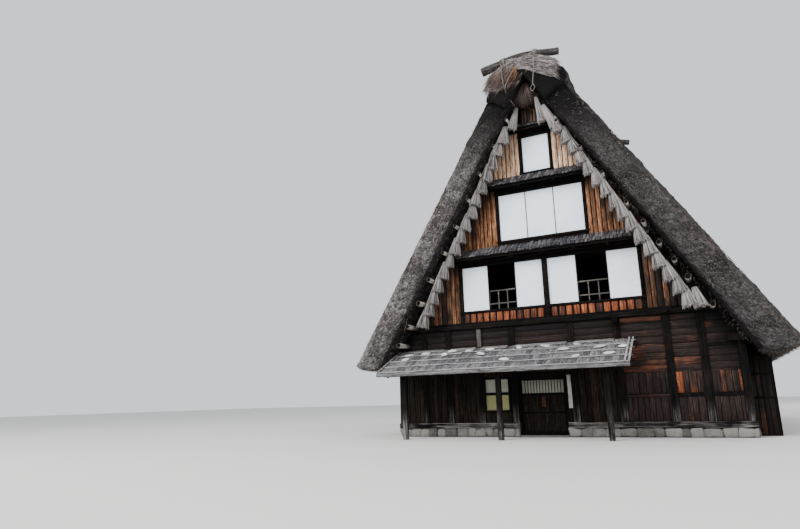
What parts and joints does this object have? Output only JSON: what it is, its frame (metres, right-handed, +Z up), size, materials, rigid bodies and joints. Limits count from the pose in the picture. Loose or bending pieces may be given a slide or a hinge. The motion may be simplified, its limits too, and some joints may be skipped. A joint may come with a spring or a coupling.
{
  "type": "minka farmhouse",
  "caption": "Steep thatched minka farmhouse with three storeys of paper windows in its gable, a board lean-to roof over the entrance and a sliding board door.",
  "frame": {"origin": "on the ground, under the middle of the whole house", "axes": "+Z up, +X to the right along the entrance gable, +Y from the entrance gable into the house"},
  "size_m": [13.68, 18.07, 12.936],
  "materials": {
    "dark_timber": "smoked and weathered timber",
    "boards": "weathered brown boards",
    "grey_timber": "silver grey weathered boards",
    "thatch": "dark weathered thatch",
    "straw": "cut straw ends",
    "paper": "plain white window paper",
    "stone": "rough grey stone"
  },
  "bodies": {
    "house": {"base_stones": "stone", "base_sill": "grey_timber", "ground_floor": "boards", "front_wall_left": "boards", "front_wall_right": "boards", "front_wall_over_door": "boards", "left_wall": "boards", "right_wall": "boards", "back_wall": "boards", "right_aisle_wall": "boards", "front_posts_left": "dark_timber", "front_posts_right": "dark_timber", "back_posts": "dark_timber", "front_beam": "dark_timber", "back_beam": "dark_timber", "attic_floor_1": "boards", "attic_floor_2": "boards", "attic_floor_3": "boards", "front_gable_wall": "boards", "back_gable_wall": "boards", "front_panel_1_1": "paper", "front_panel_1_2": "paper", "front_panel_1_3": "paper", "front_panel_1_4": "paper", "front_panels_2": "paper", "front_panel_3": "paper", "back_panels_1": "paper", "back_panels_2": "paper", "back_panels_3": "paper", "back_panels_4": "paper", "window_rail_left": "dark_timber", "window_rail_right": "dark_timber", "front_pent_1": "grey_timber", "front_pent_2": "grey_timber", "front_pent_3": "grey_timber", "back_pent_1": "grey_timber", "back_pent_2": "grey_timber", "back_pent_3": "grey_timber", "thatch_left": "thatch", "thatch_right": "thatch", "ridge_cap": "thatch", "ridge_log_front": "grey_timber", "ridge_log_middle": "grey_timber", "ridge_log_back": "grey_timber", "front_verge_straw_left": "straw", "front_verge_straw_right": "straw", "back_verge_straw_left": "straw", "back_verge_straw_right": "straw", "lean_to_roof": "grey_timber", "porch_frame": "dark_timber", "entrance_window": "paper"},
    "door": {"entrance_door": "boards"}
  },
  "joints": [
    {"name": "door_slide", "type": "slide", "parent": "house", "child": "door", "axis": [1, 0, 0], "range_m": [0, 1.45]}
  ]
}
